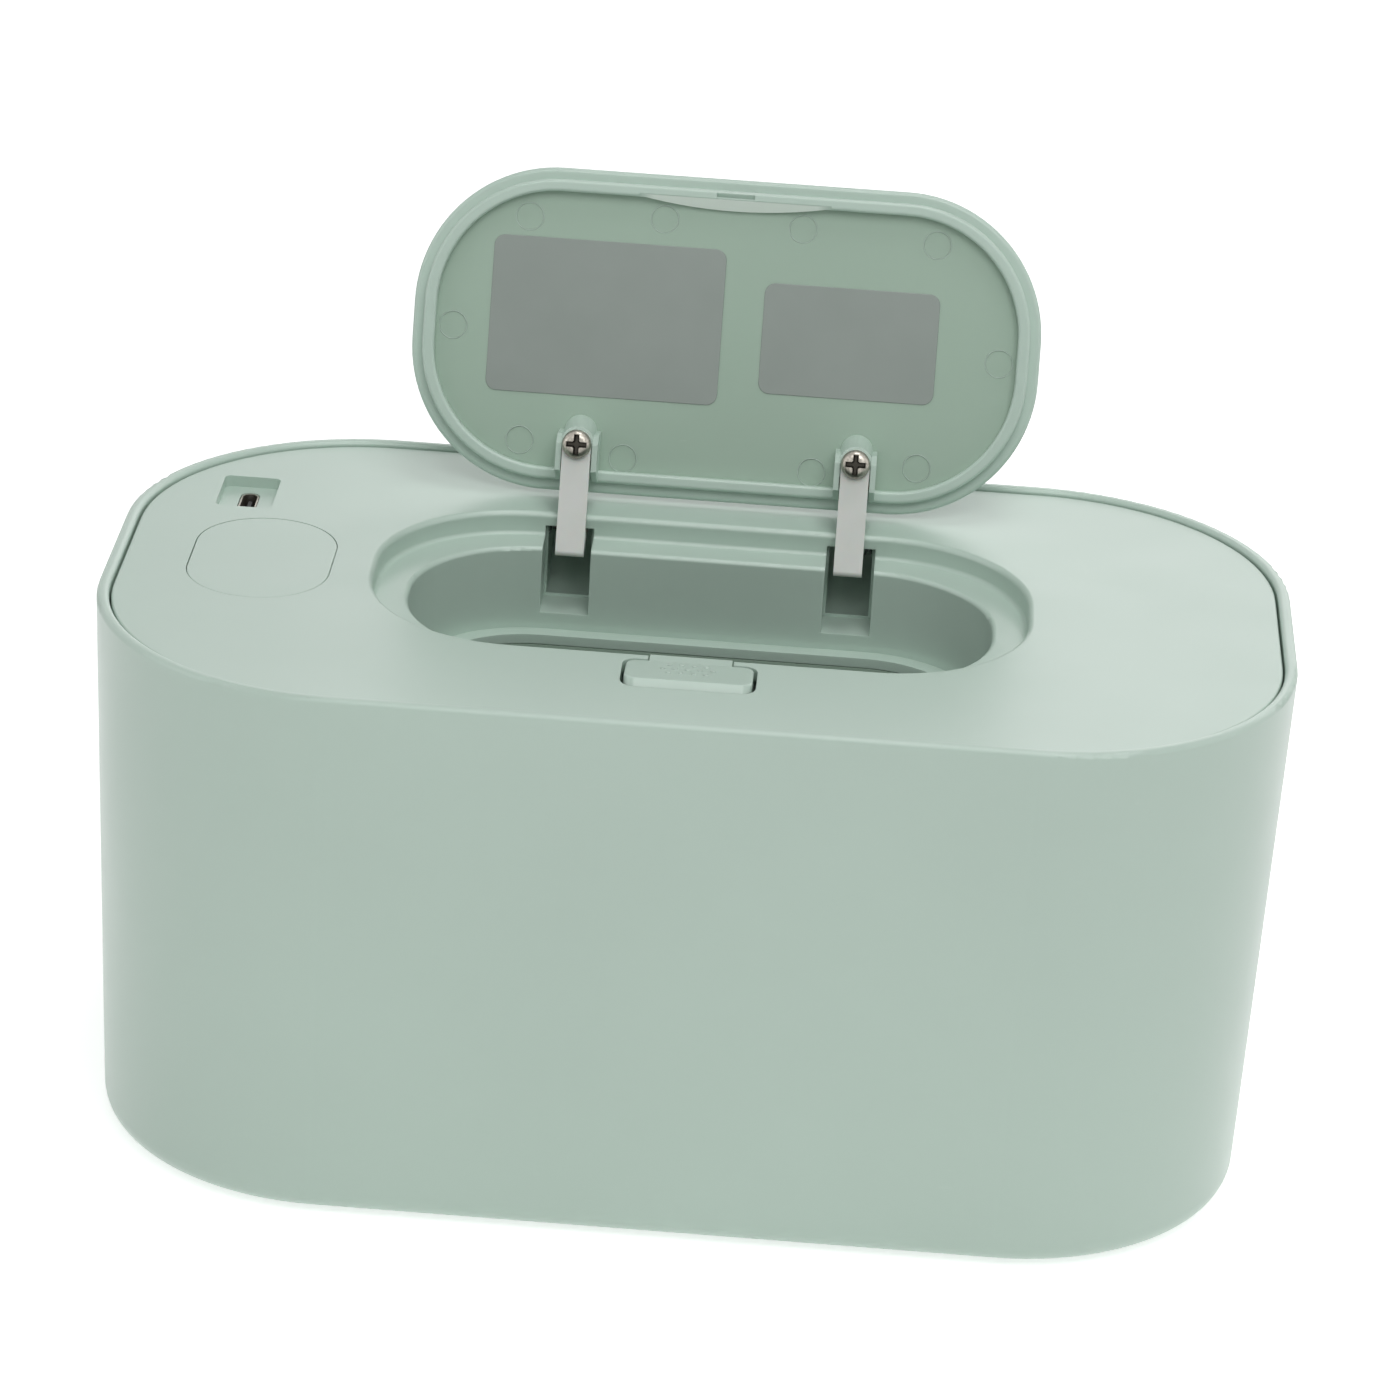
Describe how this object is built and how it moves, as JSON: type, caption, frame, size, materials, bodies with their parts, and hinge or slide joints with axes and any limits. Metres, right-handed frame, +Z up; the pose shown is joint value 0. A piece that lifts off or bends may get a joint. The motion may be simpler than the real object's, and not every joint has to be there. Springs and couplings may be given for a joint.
{
  "type": "baby wipe warmer",
  "caption": "Rounded plastic tub with a drop-in top cover: sprung lid on strip arms, dispensing well, latch button, touch panel and power socket.",
  "frame": {"origin": "middle of the tub's footprint, on the table", "axes": "+Z up, -Y the front with the latch button, +X to the right; the lid hinges about +X at the rear of the recess"},
  "size_m": [0.21, 0.12, 0.1574],
  "materials": {
    "mint_abs": "glossy moulded ABS, pale mint green",
    "pale_acetal": "satin moulded acetal, pale grey",
    "silicone": "matt silicone",
    "heater_aluminium": "rolled sheet, satin",
    "polyimide": "amber film with a printed heater",
    "foam": "closed-cell foam sheet",
    "black_plastic": "moulded, matt",
    "circuit_board": "glass epoxy board with green solder mask",
    "lamp_resin": "clear resin",
    "spring_steel": "drawn wire",
    "nickel_steel": "nickel plated steel",
    "lead_sleeve": "PVC sleeved stranded wire"
  },
  "bodies": {
    "base": {"outer_shell": "mint_abs", "foot_pads": "silicone"},
    "top_cover": {"deck": "mint_abs", "cover_base": "mint_abs", "heater_plate": "heater_aluminium", "heater_film": "polyimide", "heater_pad": "foam", "thermal_cutout": "black_plastic", "thermistor": "black_plastic", "control_board": "circuit_board", "board_components": "black_plastic", "indicator_leds": "lamp_resin", "light_shroud": "black_plastic", "touch_panel": "mint_abs", "touch_spring": "spring_steel", "usb_socket_shell": "nickel_steel", "usb_socket_tongue": "black_plastic", "heater_leads": "lead_sleeve", "sensor_leads": "lead_sleeve", "cover_screws": "nickel_steel", "board_screws": "nickel_steel", "hinge_pin_left": "nickel_steel", "hinge_pin_right": "nickel_steel", "torsion_spring_left": "spring_steel", "torsion_spring_right": "spring_steel", "button_pin": "nickel_steel", "button_spring": "spring_steel"},
    "lid": {"lid_panel": "mint_abs", "hinge_arm_left": "pale_acetal", "hinge_arm_right": "pale_acetal", "arm_screws": "nickel_steel"},
    "release_button": {"release_button": "mint_abs"}
  },
  "joints": [
    {"name": "cover_lift", "type": "slide", "parent": "base", "child": "top_cover", "axis": [0, 0, 1], "range_m": [0, 0.04]},
    {"name": "lid_hinge", "type": "hinge", "parent": "top_cover", "child": "lid", "pos_m": [0, 0.0358, 0.0969], "axis": [1, 0, 0], "range_deg": [0, 108.6], "stiffness_Nm_per_rad": 0.0084, "springref_deg": -28.65},
    {"name": "button_rock", "type": "hinge", "parent": "top_cover", "child": "release_button", "pos_m": [0, -0.0315, 0.092], "axis": [1, 0, 0], "range_deg": [0, 6.5], "stiffness_Nm_per_rad": 0.05, "springref_deg": -8.59, "deforming": ["button_spring"]}
  ]
}
